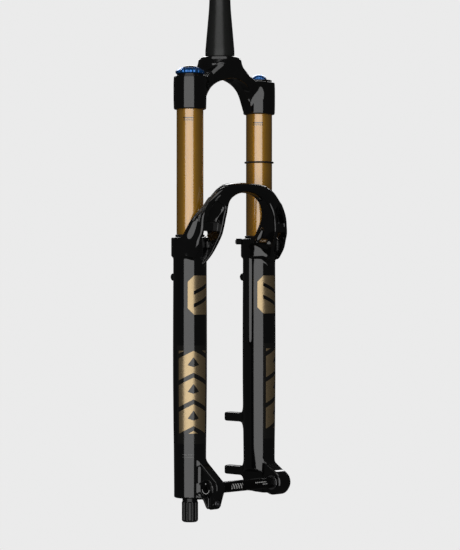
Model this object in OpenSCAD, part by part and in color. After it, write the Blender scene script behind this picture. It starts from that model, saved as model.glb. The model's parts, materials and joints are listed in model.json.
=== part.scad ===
// Long-travel telescopic suspension fork with a single crown, as an assembly.
// Frame: origin on the steerer axis at the crown race seat, +Z up the steerer,
// +X to the rider's left (air side), -Y to the front of the bicycle. Millimetres.

/* [Stance] */
// Distance between the two leg axes
leg_spacing = 133; // [130:0.5:136]
// How far the leg axes lie ahead of the steerer axis
leg_offset = 10; // [8:0.5:12]
// How far the wheel axle lies ahead of the steerer axis
rake = 44; // [42:0.5:46]
// Height of the crown race seat above the axle
axle_to_crown = 581; // [579:0.5:583]

/* [Steerer] */
// Diameter of the steerer at the stem
steerer_d = 28.6; // [28:0.1:29]
// Diameter of the steerer at the crown race
race_d = 39.8; // [39:0.1:40]
// Length of the steerer above the crown race seat
steerer_l = 215; // [150:1:240]

/* [Upper tubes] */
// Outer diameter of the upper tubes
tube_d = 36; // [35:0.1:36]
// Wall of the upper tubes
tube_wall = 1.8; // [1.5:0.1:2]

/* [Lower casting] */
// Outer diameter of the legs at their fullest
leg_d = 45.6; // [45:0.1:47]
// Height of the arch's crest above the top of the collars
arch_rise = 75; // [70:1:76]

/* [Axle] */
// Diameter of the wheel axle
axle_d = 15; // [14.9:0.1:15]
// Width of the hub between the dropouts
hub_w = 110; // [108:1:110]

/* [Brake mount] */
// Distance between the two brake bolts
brake_spacing = 74.2; // [73:0.1:75]

/* [Hidden] */
$fn = 64;
e = 0.02;
run = 0.05;

// stance
leg_x = leg_spacing / 2;
leg_y = -leg_offset;
axle_y = -rake;
axle_z = -axle_to_crown;

// crown
boss_r = 26;
boss_bottom_z = -31;
barrel_r = 22;
barrel_top_z = -31;
barrel_bottom_z = -76;
// the steerer's lower end, pressed into the crown
pressed_r = 18.6;

// upper tubes
tube_r = tube_d / 2;
tube_in_r = tube_r - tube_wall;
tube_bottom_z = -402;

// heights of the lower casting, at rest
wiper_top_z = -244;
collar_top_z = -248;
collar_bottom_z = -271;
collar_r = 25.1;
leg_r = leg_d / 2;
leg_bottom_z = -595;
foot_floor_top_z = -580;
foot_recess_top_z = -588;
foot_recess_r = 10;
arch_top_z = collar_top_z + arch_rise;

// bores of the legs
wiper_seat_r = 21;
wiper_seat_z = -255;
foam_bottom_z = -261;
foam_seat_r = 20.4;
bushing_r = 19.2;
bushing_h = 20;
upper_bushing_z = -282;
lower_bushing_z = -396;
leg_bore_r = 18.8;
foot_bore_r = 11.5;

// bosses of the bleeder buttons, behind the legs
bleeder_z = -300;
bleeder_boss_r = 6;
bleeder_boss_y = 18.5;
bleeder_stem_r = 3.5;
bleeder_travel = 1.2;

// brake tabs, behind the left leg
brake_z = -532;
brake_face_y = 50;
brake_x = 64;
brake_tab_r = 6.4;
brake_thread_r = 2.5;
brake_thread_l = 16;

// dropouts and axle
drop_in_x = hub_w / 2;
near_drop_out_x = 70.5;
far_drop_out_x = 80;
axle_r = axle_d / 2;
axle_head_r = 10;
axle_thread_r = 7;
axle_nut_r = 10;
hub_flat_x = drop_in_x - 1.5;
pinch_x = -62.5;
pinch_z = -600;
pinch_slot_y = axle_y - 5;
pinch_head_y = -55;
pinch_r = 2.5;

// damper and air spring internals
shaft_r = 5;
rod_r = 2.5;
cartridge_r = 14;
cartridge_in_r = 12.5;
seal_head_top_z = -386;
piston_z = -370;
piston_h = 18;
stem_r = 6;
valve_z = -166;
floater_z = -134;
floater_h = 12;

// sag ring on the air side upper tube
sag_z = -142;
sag_wire_r = 1.2;

// the cover and knobs under the damper leg
cover_r = 10.9;
cover_top_z = -595.1;
cover_bottom_z = -627.5;

module at_damper(z = 0) {
    translate([-leg_x, leg_y, z]) children();
}

module at_air(z = 0) {
    translate([leg_x, leg_y, z]) children();
}

module both_legs(z = 0) {
    at_damper(z) children();
    at_air(z) children();
}

// a ring about the Z axis, from z = 0 up
module ring(r_out, r_in, h) {
    rotate_extrude()
        translate([r_in, 0])
            square([r_out - r_in, h]);
}

// a shaft along X between two places
module along_x(x_low, x_high, r, y, z) {
    translate([x_low, y, z])
        rotate([0, 90, 0])
            cylinder(r = r, h = x_high - x_low);
}

// a shaft along Y between two places
module along_y(y_low, y_high, r, x, z) {
    translate([x, y_high, z])
        rotate([90, 0, 0])
            cylinder(r = r, h = y_high - y_low);
}

// ---- crown and steerer ----

module steerer_tube() {
    top_r = steerer_d / 2;
    race_r = race_d / 2;
    color("dimgray")
        rotate_extrude()
            polygon([
                [16.4, boss_bottom_z + 1], [pressed_r, boss_bottom_z + 1], [pressed_r, 0],
                [race_r, 0], [race_r, 8],
                [top_r, 72], [top_r, steerer_l - 0.6], [top_r - 0.6, steerer_l],
                [12, steerer_l], [12, 70], [16.4, 6]
            ]);
}

// one arm of the crown, from the boss to a barrel; side is -1 or 1
module crown_arm(side) {
    hull() {
        translate([side * 6, -2, -31]) cylinder(r = 24, h = 27, $fn = 32);
        translate([side * 34, leg_y + 2, -50]) cylinder(r = 12, h = 22, $fn = 32);
    }
    hull() {
        translate([side * 34, leg_y + 2, -60]) cylinder(r = 13, h = 31, $fn = 32);
        translate([side * (leg_x - 2), leg_y, -64]) cylinder(r = barrel_r - 3, h = 32, $fn = 32);
    }
}

module crown() {
    color("black")
        difference() {
            union() {
                rotate_extrude()
                    polygon([
                        [0, boss_bottom_z], [30, boss_bottom_z], [30.5, -12], [29, -4], [boss_r, -1],
                        [23, 0], [0, 0]
                    ]);
                crown_arm(-1);
                crown_arm(1);
                both_legs(barrel_bottom_z)
                    rotate_extrude()
                        polygon([
                            [0, 0], [21.2, 0], [barrel_r, 1.2], [barrel_r, 43.8], [21, 45], [0, 45]
                        ]);
            }
            translate([0, 0, boss_bottom_z - 60]) cylinder(r = pressed_r, h = 100);
            both_legs(barrel_bottom_z - 1) cylinder(r = tube_r, h = 60);
            // flat seats round the top caps and knobs
            both_legs(barrel_top_z) cylinder(r = 20.6, h = 40);
            // the arched underside
            translate([0, 60, barrel_bottom_z])
                rotate([90, 0, 0])
                    cylinder(r = 44, h = 120, $fn = 96);
        }
}

// ---- upper tubes ----

module upper_tube() {
    translate([0, 0, tube_bottom_z])
        ring(tube_r, tube_in_r, barrel_top_z - tube_bottom_z);
}

module upper_tube_damper() {
    color("goldenrod") at_damper() upper_tube();
}

module upper_tube_air() {
    color("goldenrod") at_air() upper_tube();
}

// ---- damper side, above ----

module damper_top_cap() {
    color("black")
        at_damper()
            rotate_extrude()
                polygon([
                    [0, -52], [tube_in_r, -52], [tube_in_r, barrel_top_z], [17.6, barrel_top_z],
                    [17.6, -28.2], [6, -28.2], [6, -24], [0, -24]
                ]);
}

module high_speed_compression_knob() {
    color("dodgerblue")
        at_damper(-28)
            difference() {
                rotate_extrude()
                    polygon([[0, 0], [18.6, 0], [19.4, 1], [19.4, 3.6], [14, 7.6], [0, 8.6]]);
                translate([0, 0, -e]) cylinder(r = 6 + run, h = 6);
                translate([0, 0, 4]) cylinder(r = 10.4, h = 10);
                // finger flutes round the rim
                for (i = [0:17])
                    rotate([0, 0, i * 20])
                        translate([20.6, 0, -1])
                            cylinder(r = 1.6, h = 14, $fn = 16);
            }
}

module low_speed_compression_knob() {
    color("black")
        at_damper(-23.7)
            rotate_extrude()
                polygon([
                    [0, 0], [10.1, 0], [10.1, 3.8], [9, 5.2], [6.6, 6.3], [3.6, 6.8], [0, 6.9]
                ]);
}

module damper_cartridge() {
    color("silver")
        at_damper(seal_head_top_z)
            ring(cartridge_r, cartridge_in_r, -52 - seal_head_top_z);
}

module cartridge_seal_head() {
    color("silver")
        at_damper(tube_bottom_z + 4)
            ring(tube_in_r, shaft_r + run, seal_head_top_z - tube_bottom_z - 4);
}

module snap_ring() {
    ring(tube_in_r, tube_in_r - 3, 1.6);
}

module cartridge_snap_ring() {
    color("gray") at_damper(tube_bottom_z + 2.4) snap_ring();
}

module compression_valve() {
    color("gold")
        at_damper()
            union() {
                translate([0, 0, valve_z]) cylinder(r = stem_r, h = -52 - valve_z);
                translate([0, 0, valve_z - 14]) cylinder(r = cartridge_in_r - 0.5, h = 14);
            }
}

module floating_piston() {
    color("silver")
        at_damper(floater_z)
            ring(cartridge_in_r - run, stem_r + run, floater_h);
}

// the spring's outline, as one sleeve
module floating_piston_spring() {
    color("gray")
        at_damper(floater_z + floater_h)
            ring(11.5, 8, -52 - floater_z - floater_h);
}

// ---- air side, above ----

module air_top_cap() {
    color("black")
        at_air()
            difference() {
                union() {
                    translate([0, 0, -46]) cylinder(r = tube_in_r, h = 15);
                    translate([0, 0, barrel_top_z]) cylinder(r = 17.6, h = 2.8);
                }
                translate([0, 0, -47]) cylinder(r = 4.6, h = 20);
            }
}

module air_valve_body() {
    color("gold")
        at_air()
            union() {
                translate([0, 0, -52])
                    ring(4.6, 1.4, 21.5);
                translate([0, 0, -30.5])
                    ring(3.9, 1.4, 6);
            }
}

module valve_pin() {
    color("silver") at_air(-46) cylinder(r = 1.3, h = 20);
}

module air_valve_cap() {
    color("dodgerblue")
        at_air(-28)
            difference() {
                rotate_extrude()
                    polygon([[0, 0], [10.5, 0], [10.5, 2], [7.6, 5.5], [5.4, 6.8], [0, 7.4]]);
                translate([0, 0, -e]) cylinder(r = 3.9 + run, h = 5);
            }
}

module volume_spacers() {
    color("orange")
        for (i = [0:2])
            at_air(-59 - i * 13)
                ring(14.5, 9, 13);
}

module air_seal_head() {
    color("silver")
        at_air(tube_bottom_z + 4)
            ring(tube_in_r, shaft_r + run, seal_head_top_z - tube_bottom_z - 4);
}

module air_snap_ring() {
    color("gray") at_air(tube_bottom_z + 2.4) snap_ring();
}

module sag_ring() {
    color("black")
        at_air(sag_z)
            rotate_extrude()
                translate([tube_r + 0.03 + sag_wire_r, 0])
                    circle(r = sag_wire_r, $fn = 24);
}

// ---- lower casting ----

// each row is one section of half the arch: its outer edge's x and z, its inner edge's x and z,
// the outer edge's front and rear y, and the inner edge's front and rear y
arch_rows = [
    [0, arch_top_z, 0, arch_top_z - 13.5, -55, -38, -57, -40],
    [28, arch_top_z - 1, 18, arch_top_z - 16, -55, -38, -58, -40],
    [50, arch_top_z - 6, 33, arch_top_z - 24, -55, -40, -59, -39],
    [66, arch_top_z - 17, 42, arch_top_z - 36, -55, -40, -60, -37],
    [77, arch_top_z - 33, 46, arch_top_z - 48, -53, -38, -60, -33],
    [84, arch_top_z - 51, 48, arch_top_z - 62, -52, -32, -58, -26],
    [88, arch_top_z - 67, 50, arch_top_z - 75, -50, -24, -56, -22],
    [88, arch_top_z - 79, 54, arch_top_z - 87, -44, -20, -49, -22],
    [83, arch_top_z - 91, 58, arch_top_z - 101, -37, -20, -42, -22],
    [74, arch_top_z - 101, 62, arch_top_z - 112, -30, -20, -32, -22]
];
arch_steps = 5;
arch_last = len(arch_rows) - 1;

// Catmull-Rom blend of four values at t
function blend4(a, b, c, d, t) =
    0.5 * (2 * b + (c - a) * t + (2 * a - 5 * b + 4 * c - d) * t * t
    + (3 * b - a - 3 * c + d) * t * t * t);

// a row left of the middle is the mirror image of one on the right
function mirrored_row(i) =
    let (row = arch_rows[min(abs(i), arch_last)])
    i < 0 ? [-row[0], row[1], -row[2], row[3], row[4], row[5], row[6], row[7]] : row;

// the arch's section at station s, which runs from -arch_last to arch_last
function arch_row(s) =
    let (i = min(floor(s), arch_last - 1))
    let (t = s - i)
    [for (k = [0:7])
        blend4(
            mirrored_row(i - 1)[k], mirrored_row(i)[k],
            mirrored_row(i + 1)[k], mirrored_row(min(i + 2, arch_last))[k], t)];

// ten points round one section, with bevelled corners
function section_points(row) =
    let (outer = [row[0], row[1]])
    let (inner = [row[2], row[3]])
    let (bevel = 0.14)
    [for (corner = [
        [bevel, 0], [1 - bevel, 0], [1, bevel], [1, 0.5], [1, 1 - bevel], [1 - bevel, 1],
        [bevel, 1], [0, 1 - bevel], [0, 0.5], [0, bevel]
    ])
        let (place = outer + (inner - outer) * corner[0])
        let (front = row[4] + (row[6] - row[4]) * corner[0])
        let (rear = row[5] + (row[7] - row[5]) * corner[0])
        [place[0], front + (rear - front) * corner[1], place[1]]];

module arch() {
    count = 10;
    rings = 2 * arch_last * arch_steps;
    points = [for (i = [0:rings]) each section_points(arch_row(i / arch_steps - arch_last))];
    sides = [for (i = [0:rings - 1], k = [0:count - 1])
        let (next = (k + 1) % count)
        each [
            [(i + 1) * count + next, i * count + next, i * count + k],
            [(i + 1) * count + k, (i + 1) * count + next, i * count + k]
        ]];
    last = rings * count;
    first_cap = [for (k = [1:count - 2]) [0, k, k + 1]];
    last_cap = [for (k = [1:count - 2]) [last + k + 1, last + k, last]];
    polyhedron(points, concat(sides, first_cap, last_cap), convexity = 6);
}

// the web from the arch's rear edge back to the inside of a collar
module arch_web(side) {
    hull() {
        translate([side * 46.5, -12, -254]) sphere(r = 4, $fn = 20);
        translate([side * 48, -24, -241]) sphere(r = 3, $fn = 20);
        translate([side * 49, -36, -217]) sphere(r = 3, $fn = 20);
        translate([side * 53, -48, -238]) sphere(r = 3, $fn = 20);
        translate([side * 56, -40, -266]) sphere(r = 4, $fn = 20);
    }
}

module leg_body() {
    rotate_extrude()
        polygon([
            [0, leg_bottom_z], [20.3, leg_bottom_z], [21.3, leg_bottom_z + 1],
            [21.3, -580], [21.7, -530], [22.2, -495], [leg_r - 0.1, -440], [leg_r, -395],
            [leg_r - 0.1, -350], [22.4, -290], [22.4, -275], [collar_r, collar_bottom_z],
            [collar_r, collar_top_z - 1], [collar_r - 1, collar_top_z], [0, collar_top_z]
        ]);
}

module leg_bores() {
    rotate_extrude()
        polygon([
            [0, foot_floor_top_z], [foot_bore_r, foot_floor_top_z], [foot_bore_r, -566], [leg_bore_r, -563],
            [leg_bore_r, lower_bushing_z], [bushing_r, lower_bushing_z],
            [bushing_r, lower_bushing_z + bushing_h], [leg_bore_r, lower_bushing_z + bushing_h],
            [leg_bore_r, upper_bushing_z], [bushing_r, upper_bushing_z],
            [bushing_r, foam_bottom_z], [foam_seat_r, foam_bottom_z], [foam_seat_r, wiper_seat_z],
            [wiper_seat_r, wiper_seat_z], [wiper_seat_r, collar_top_z + 5], [0, collar_top_z + 5]
        ]);
    translate([0, 0, foot_recess_top_z - 12]) cylinder(r = foot_recess_r, h = 12);
    translate([0, 0, foot_floor_top_z - 12]) cylinder(r = shaft_r, h = 14);
}

// a disc of a dropout plate, in the plane of y and z
module disc(y, z, r, width) {
    translate([y, z]) cylinder(r = r, h = width, $fn = 48);
}

// the plate that holds the axle on the damper side, with the pinch lug below it
module near_dropout() {
    width = near_drop_out_x - drop_in_x;
    translate([-near_drop_out_x, 0, 0])
        rotate([90, 0, 90]) {
            hull() {
                disc(axle_y - 8, axle_z + 1, 13.5, width);
                disc(axle_y, axle_z - 1, 15, width);
                disc(leg_y - 17, -555, 10, width);
                disc(leg_y - 10, -582, 12, width);
            }
            hull() {
                disc(axle_y - 8, axle_z + 1, 13.5, width);
                disc(axle_y, axle_z - 1, 13, width);
                disc(axle_y - 6, -600, 8.5, width);
            }
        }
}

// the boss that holds the axle nut on the air side
module far_dropout() {
    width = far_drop_out_x - drop_in_x;
    translate([drop_in_x, 0, 0])
        rotate([90, 0, 90])
            hull() {
                disc(axle_y, axle_z, 17, width - 2);
                disc(leg_y - 14, -558, 8, width - 4);
                disc(leg_y - 6, -587, 7, width - 4);
            }
    along_x(drop_in_x, far_drop_out_x, 14, axle_y, axle_z);
}

module brake_tab(z) {
    along_y(leg_y + 10, brake_face_y, brake_tab_r, brake_x, z);
    translate([brake_x - brake_tab_r, leg_y + 10, z - 5.5])
        cube([2 * brake_tab_r, brake_face_y - leg_y - 16, 11]);
}

// the raised channel down the inner side of a leg
module inner_rib(side) {
    translate([side * (leg_x - 20.4), leg_y - 2.2, -396]) cylinder(r = 3.7, h = 128, $fn = 32);
}

// the legs' inner sides are cut flat beside the hub
module hub_room() {
    translate([0, 30, 0])
        rotate([90, 0, 0])
            linear_extrude(60)
                polygon([
                    [-hub_flat_x, -620], [hub_flat_x, -620], [hub_flat_x, -575], [45, -563],
                    [-45, -563], [-hub_flat_x, -575]
                ]);
}

module lower_casting() {
    color("black")
        difference() {
            union() {
                both_legs() leg_body();
                difference() {
                    union() {
                        arch();
                        arch_web(-1);
                        arch_web(1);
                    }
                    // room for the crown's barrels at full travel
                    both_legs(collar_top_z + 4) cylinder(r = barrel_r + 1.5, h = 90);
                }
                near_dropout();
                far_dropout();
                for (side = [-1, 1]) {
                    along_y(leg_y + 15, bleeder_boss_y, bleeder_boss_r, side * leg_x, bleeder_z);
                    inner_rib(side);
                }
                brake_tab(brake_z + brake_spacing / 2);
                brake_tab(brake_z - brake_spacing / 2);
            }
            both_legs() leg_bores();
            hub_room();
            // bores of the bleeder buttons
            for (side = [-1, 1])
                along_y(leg_y, bleeder_boss_y + 2, bleeder_stem_r + run, side * leg_x, bleeder_z);
            // threaded holes of the brake mount
            for (z = [brake_z + brake_spacing / 2, brake_z - brake_spacing / 2])
                along_y(brake_face_y - brake_thread_l, brake_face_y + 1, brake_thread_r, brake_x, z);
            // axle bore, pinch slot and pinch screw hole in the damper side dropout
            along_x(-near_drop_out_x - 3, -drop_in_x + 3, axle_head_r + run, axle_y, axle_z);
            translate([-near_drop_out_x - 3, pinch_slot_y - 1, axle_z - 32])
                cube([near_drop_out_x - drop_in_x + 6, 2, 24]);
            along_y(-70, -30, pinch_r + run, pinch_x, pinch_z);
            along_y(-75, pinch_head_y, 5, pinch_x, pinch_z);
            // seat of the axle nut in the air side dropout
            along_x(drop_in_x - 3, far_drop_out_x + 3, axle_nut_r, axle_y, axle_z);
        }
}

// ---- seals and bushings of the legs ----

module dust_wiper() {
    rotate_extrude()
        polygon([
            [tube_r + run, wiper_seat_z], [wiper_seat_r, wiper_seat_z],
            [wiper_seat_r, collar_top_z], [19.9, collar_top_z], [19.3, wiper_top_z + 0.8],
            [18.7, wiper_top_z], [tube_r + run, wiper_top_z - 0.4]
        ]);
}

module dust_wiper_damper() {
    color("black") at_damper() difference() { dust_wiper(); garter(); }
}

module dust_wiper_air() {
    color("black") at_air() difference() { dust_wiper(); garter(); }
}

// the coil ring that presses a wiper's lip to the tube
module garter() {
    translate([0, 0, -251.5]) ring(20, 19, 1);
}

module wiper_springs() {
    color("silver") both_legs() garter();
}

module foam_ring() {
    translate([0, 0, foam_bottom_z])
        ring(foam_seat_r, tube_r + run, wiper_seat_z - foam_bottom_z);
}

module foam_ring_damper() {
    color("seagreen") at_damper() foam_ring();
}

module foam_ring_air() {
    color("seagreen") at_air() foam_ring();
}

module bushing() {
    ring(bushing_r, tube_r + run, bushing_h);
}

module upper_bushing_damper() {
    color("dimgray") at_damper(upper_bushing_z) bushing();
}

module upper_bushing_air() {
    color("dimgray") at_air(upper_bushing_z) bushing();
}

module lower_bushing_damper() {
    color("dimgray") at_damper(lower_bushing_z) bushing();
}

module lower_bushing_air() {
    color("dimgray") at_air(lower_bushing_z) bushing();
}

// ---- shafts and pistons that ride with the lower casting ----

module damper_shaft() {
    color("silver")
        at_damper(-604)
            ring(shaft_r, rod_r + run, piston_z + piston_h + 604);
}

module damper_piston() {
    color("gold")
        at_damper(piston_z)
            ring(cartridge_in_r - run, shaft_r, piston_h);
}

module air_shaft() {
    color("silver")
        at_air(-593)
            cylinder(r = shaft_r, h = piston_z + piston_h + 593);
}

module air_piston() {
    color("silver")
        at_air(piston_z)
            difference() {
                ring(tube_in_r - run, shaft_r, piston_h);
                translate([0, 0, 7]) ring(tube_in_r + 1, 13.4, 4);
            }
}

module air_piston_seal() {
    color("black") at_air(piston_z + 7) ring(tube_in_r - run, 13.4, 4);
}

module top_out_bumper() {
    color("red") at_air(seal_head_top_z + 0.5) ring(10, shaft_r, piston_z - seal_head_top_z - 0.5);
}

module bottom_out_bumper() {
    color("red") at_air(foot_floor_top_z) ring(11, shaft_r, 19);
}

module foot_nut() {
    translate([0, 0, -594.4])
        difference() {
            cylinder(r = 8, h = 4.8, $fn = 6);
            translate([0, 0, -1]) cylinder(r = shaft_r, h = 8);
        }
}

module damper_foot_nut() {
    color("silver") at_damper() foot_nut();
}

module air_foot_nut() {
    color("silver") at_air() foot_nut();
}

module crush_washers() {
    color("orangered") both_legs(-589.6) ring(8.4, shaft_r, 1.6);
}

// ---- adjusters under the damper leg ----

module rebound_rod() {
    color("silver") at_damper(-611) cylinder(r = rod_r, h = 611 + piston_z + 12);
}

module high_speed_rebound_knob() {
    color("royalblue")
        at_damper(-603.6)
            difference() {
                ring(8.6, shaft_r + run, 5.4);
                for (i = [0:11])
                    rotate([0, 0, i * 30])
                        translate([9.2, 0, -1])
                            cylinder(r = 1.2, h = 8, $fn = 16);
            }
}

module low_speed_rebound_knob() {
    color("red")
        at_damper(-611)
            difference() {
                ring(5.6, rod_r, 6.6);
                for (i = [0:9])
                    rotate([0, 0, i * 36])
                        translate([6.1, 0, -1])
                            cylinder(r = 0.9, h = 9, $fn = 16);
            }
}

module rebound_cover() {
    height = cover_top_z - cover_bottom_z;
    color("black")
        at_damper(cover_bottom_z)
            difference() {
                rotate_extrude()
                    polygon([
                        [0, 0], [9.6, 0], [cover_r, 1.6], [cover_r, height], [9.3, height],
                        [9.3, 3], [0, 3]
                    ]);
                // long flutes for the fingers
                for (i = [0:11])
                    rotate([0, 0, i * 30])
                        translate([cover_r + 0.9, 0, 4])
                            cylinder(r = 1.7, h = height - 8, $fn = 16);
            }
}

// ---- small parts of the lower casting ----

module bleeder_button(x) {
    along_y(10.2, bleeder_boss_y + 2, bleeder_stem_r, x, bleeder_z);
    along_y(bleeder_boss_y + bleeder_travel + 0.2, 22.5, 5.3, x, bleeder_z);
}

module bleeder_button_damper() {
    color("dimgray") bleeder_button(-leg_x);
}

module bleeder_button_air() {
    color("dimgray") bleeder_button(leg_x);
}

// places something on the inner rear of the air side collar, facing out along X
module at_hose_guide() {
    at_air(-251)
        rotate([0, 0, 128])
            translate([collar_r, 0, 0])
                children();
}

module hose_guide() {
    color("black")
        at_hose_guide()
            difference() {
                translate([-1.5, -5.5, -4]) cube([7.5, 13, 8]);
                translate([3, 3.4, -6]) cylinder(r = 2.3, h = 12);
                translate([3, 2.4, -6]) cube([8, 2, 12]);
                translate([-4, -2.2, 0]) rotate([0, 90, 0]) cylinder(r = 1.5, h = 16);
                collar_round();
            }
}

// the collar's own round, seen from the hose guide's place
module collar_round() {
    translate([-collar_r, 0, -20]) cylinder(r = collar_r, h = 40);
}

module hose_guide_screw() {
    color("silver")
        at_hose_guide()
            translate([0.3, -2.2, 0])
                rotate([0, 90, 0])
                    difference() {
                        union() {
                            cylinder(r = 1.5, h = 6.2);
                            translate([0, 0, 5.7]) cylinder(r = 2.8, h = 2);
                        }
                        translate([0, 0, 6.6]) cylinder(r = 1.2, h = 2, $fn = 6);
                    }
}

module axle() {
    color("black")
        difference() {
            union() {
                along_x(-near_drop_out_x, -drop_in_x, axle_head_r, axle_y, axle_z);
                along_x(-drop_in_x - 1, drop_in_x, axle_r, axle_y, axle_z);
                along_x(drop_in_x - 1, far_drop_out_x - 3, axle_thread_r, axle_y, axle_z);
            }
            // hollow middle and hexagonal socket
            along_x(-near_drop_out_x + 9, far_drop_out_x, 5, axle_y, axle_z);
            translate([-near_drop_out_x - 1, axle_y, axle_z])
                rotate([0, 90, 0])
                    cylinder(r = 3.5, h = 11, $fn = 6);
        }
}

module axle_nut() {
    color("dimgray")
        difference() {
            along_x(drop_in_x, far_drop_out_x - 2, axle_nut_r, axle_y, axle_z);
            along_x(drop_in_x - 1, far_drop_out_x, axle_thread_r + run, axle_y, axle_z);
        }
}

module pinch_bolt() {
    color("silver")
        difference() {
            union() {
                along_y(pinch_head_y - 1, -42.5, pinch_r, pinch_x, pinch_z);
                along_y(pinch_head_y - 4.2, pinch_head_y - 0.2, 4.4, pinch_x, pinch_z);
            }
            translate([pinch_x, pinch_head_y - 5, pinch_z])
                rotate([-90, 0, 0])
                    cylinder(r = 2.3, h = 3.4, $fn = 6);
        }
}

steerer_tube();
crown();
upper_tube_damper();
upper_tube_air();
damper_top_cap();
high_speed_compression_knob();
low_speed_compression_knob();
air_top_cap();
air_valve_cap();
air_valve_body();
valve_pin();
volume_spacers();
damper_cartridge();
cartridge_seal_head();
compression_valve();
floating_piston();
floating_piston_spring();
cartridge_snap_ring();
air_seal_head();
air_snap_ring();
sag_ring();
lower_casting();
dust_wiper_damper();
dust_wiper_air();
wiper_springs();
foam_ring_damper();
foam_ring_air();
upper_bushing_damper();
upper_bushing_air();
lower_bushing_damper();
lower_bushing_air();
damper_shaft();
damper_piston();
air_shaft();
air_piston();
air_piston_seal();
top_out_bumper();
bottom_out_bumper();
damper_foot_nut();
air_foot_nut();
crush_washers();
rebound_rod();
low_speed_rebound_knob();
high_speed_rebound_knob();
rebound_cover();
bleeder_button_damper();
bleeder_button_air();
hose_guide();
hose_guide_screw();
axle();
axle_nut();
pinch_bolt();
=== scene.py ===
"""The looks of the suspension fork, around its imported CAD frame.

Shapes are worked out in millimetres, in the frame of the CAD: origin on the steerer axis at the crown race
seat, +Z up the steerer, +X to the rider's left, -Y to the front. Blender's objects are in metres.
The lower casting and the crown are blended solids: each is a signed distance field, meshed on a grid.
"""

import json
import math

import bmesh
import bpy
import numpy as np
from mathutils import Matrix, Vector


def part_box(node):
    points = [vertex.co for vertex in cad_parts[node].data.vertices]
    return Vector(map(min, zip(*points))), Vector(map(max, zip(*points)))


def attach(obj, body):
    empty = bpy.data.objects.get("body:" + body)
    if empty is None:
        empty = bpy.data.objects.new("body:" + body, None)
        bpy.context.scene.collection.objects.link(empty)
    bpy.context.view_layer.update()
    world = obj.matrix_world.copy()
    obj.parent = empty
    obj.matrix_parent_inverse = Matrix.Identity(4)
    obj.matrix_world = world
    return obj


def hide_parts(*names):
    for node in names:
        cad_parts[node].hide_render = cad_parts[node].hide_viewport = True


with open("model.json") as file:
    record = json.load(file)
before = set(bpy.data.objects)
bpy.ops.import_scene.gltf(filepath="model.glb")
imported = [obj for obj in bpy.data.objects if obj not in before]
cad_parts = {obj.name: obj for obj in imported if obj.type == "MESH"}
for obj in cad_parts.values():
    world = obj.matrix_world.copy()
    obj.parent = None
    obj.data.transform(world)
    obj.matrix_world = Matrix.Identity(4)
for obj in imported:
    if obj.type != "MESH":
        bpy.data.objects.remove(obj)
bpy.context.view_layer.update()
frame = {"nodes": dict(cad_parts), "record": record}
nodes = frame["nodes"]
MM = 0.001


def box_mm(node):
    """Lowest and highest corner of a CAD node, in millimetres."""
    low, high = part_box(node)
    return np.array(low) / MM, np.array(high) / MM


# ---- places and sizes that the CAD gives ----

tube_low, tube_high = box_mm("upper_tube_air")
LEG_X, LEG_Y = (tube_low[:2] + tube_high[:2]) / 2
TUBE_R = (tube_high[0] - tube_low[0]) / 2
TUBE_TOP, TUBE_BOTTOM = tube_high[2], tube_low[2]
wiper_low, wiper_high = box_mm("dust_wiper_air")
WIPER_TOP = wiper_high[2]
WIPER_SEAT = wiper_low[2]
COLLAR_TOP = WIPER_TOP - 4
nut_low, nut_high = box_mm("axle_nut")
AXLE_Y, AXLE_Z = (nut_low[1:] + nut_high[1:]) / 2
HUB_HALF = nut_low[0]
NEAR_DROP_X = box_mm("axle")[0][0]
FAR_DROP_X = nut_high[0] + 2
casting_high = box_mm("lower_casting")[1]
ARCH_TOP = casting_high[2]
BRAKE_FACE_Y = casting_high[1]
cover_low, cover_high = box_mm("rebound_cover")
LEG_BOTTOM = cover_high[2] + 0.1
BLEEDER_Z = sum(p[2] for p in box_mm("bleeder_button_air")) / 2
STEERER_TOP = box_mm("steerer_tube")[1][2]
BARREL_BOTTOM = box_mm("crown")[0][2]

# ---- sizes that the looks share with the CAD's own values ----

STEERER_R, STEERER_BORE_R = 14.3, 12
RACE_R = 19.9
PRESSED_R, PRESSED_BORE_R = 18.6, 16.4
PRESSED_BOTTOM = -25.6
TUBE_WALL = 1.8
TUBE_SOCKET_DEPTH = 17
BARREL_R = 22.1
CAP_SEAT_R = 20.8
COLLAR_R = 25.1
RIB_IN, RIB_FRONT, RIB_R, RIB_TOP = 20.4, 2.2, 3.7, -268
BLEEDER_BOSS_R, BLEEDER_BOSS_FROM, BLEEDER_BOSS_TO = 6, 12, 18.5
BRAKE_X, BRAKE_Z = 64, -532
BRAKE_SPACING = 74.2
TAB_HALF_X, TAB_HALF_Z = 6.4, 6.3
TAB_HOLE_R, TAB_HOLE_DEPTH = 2.5, 16
AXLE_BORE_R, NUT_BORE_R = 10.1, 10
AXLE_HEAD_R, AXLE_SHANK_R = 10, 7.5
HUB_FLAT = 53.5
DROP_IN = 3
PINCH = (-62.5, -55, -600)
PINCH_SEAT_R, PINCH_HOLE_R = 5, 2.6
FOOT_RECESS_R, FOOT_RECESS_DEPTH = 10, 7
FOOT_HOLE_R = 5
CAP_SEAT_Z = -28


# ---- fields: negative inside, in millimetres ----

def smin(a, b, k):
    """The lower of two fields, with a fillet about k wide."""
    h = np.maximum(k - np.abs(a - b), 0) / k
    return np.minimum(a, b) - h * h * k / 4


def smax(a, b, k):
    """The higher of two fields, with a rounded edge about k wide."""
    return -smin(-a, -b, k)


def between(v, low, high):
    """A slab from low to high."""
    return np.maximum(low - v, v - high)


def turned_field(r, z, heights, radii):
    """A turned body's side, from its radius at each height (heights rising)."""
    return r - np.interp(z, heights, radii)


def capsule(u, v, a, b):
    """Two discs (u, v, radius) and the tangent strip between them."""
    du, dv = b[0] - a[0], b[1] - a[1]
    t = np.clip(((u - a[0]) * du + (v - a[1]) * dv) / (du * du + dv * dv), 0, 1)
    return np.hypot(u - a[0] - t * du, v - a[1] - t * dv) - (a[2] + t * (b[2] - a[2]))


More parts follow.
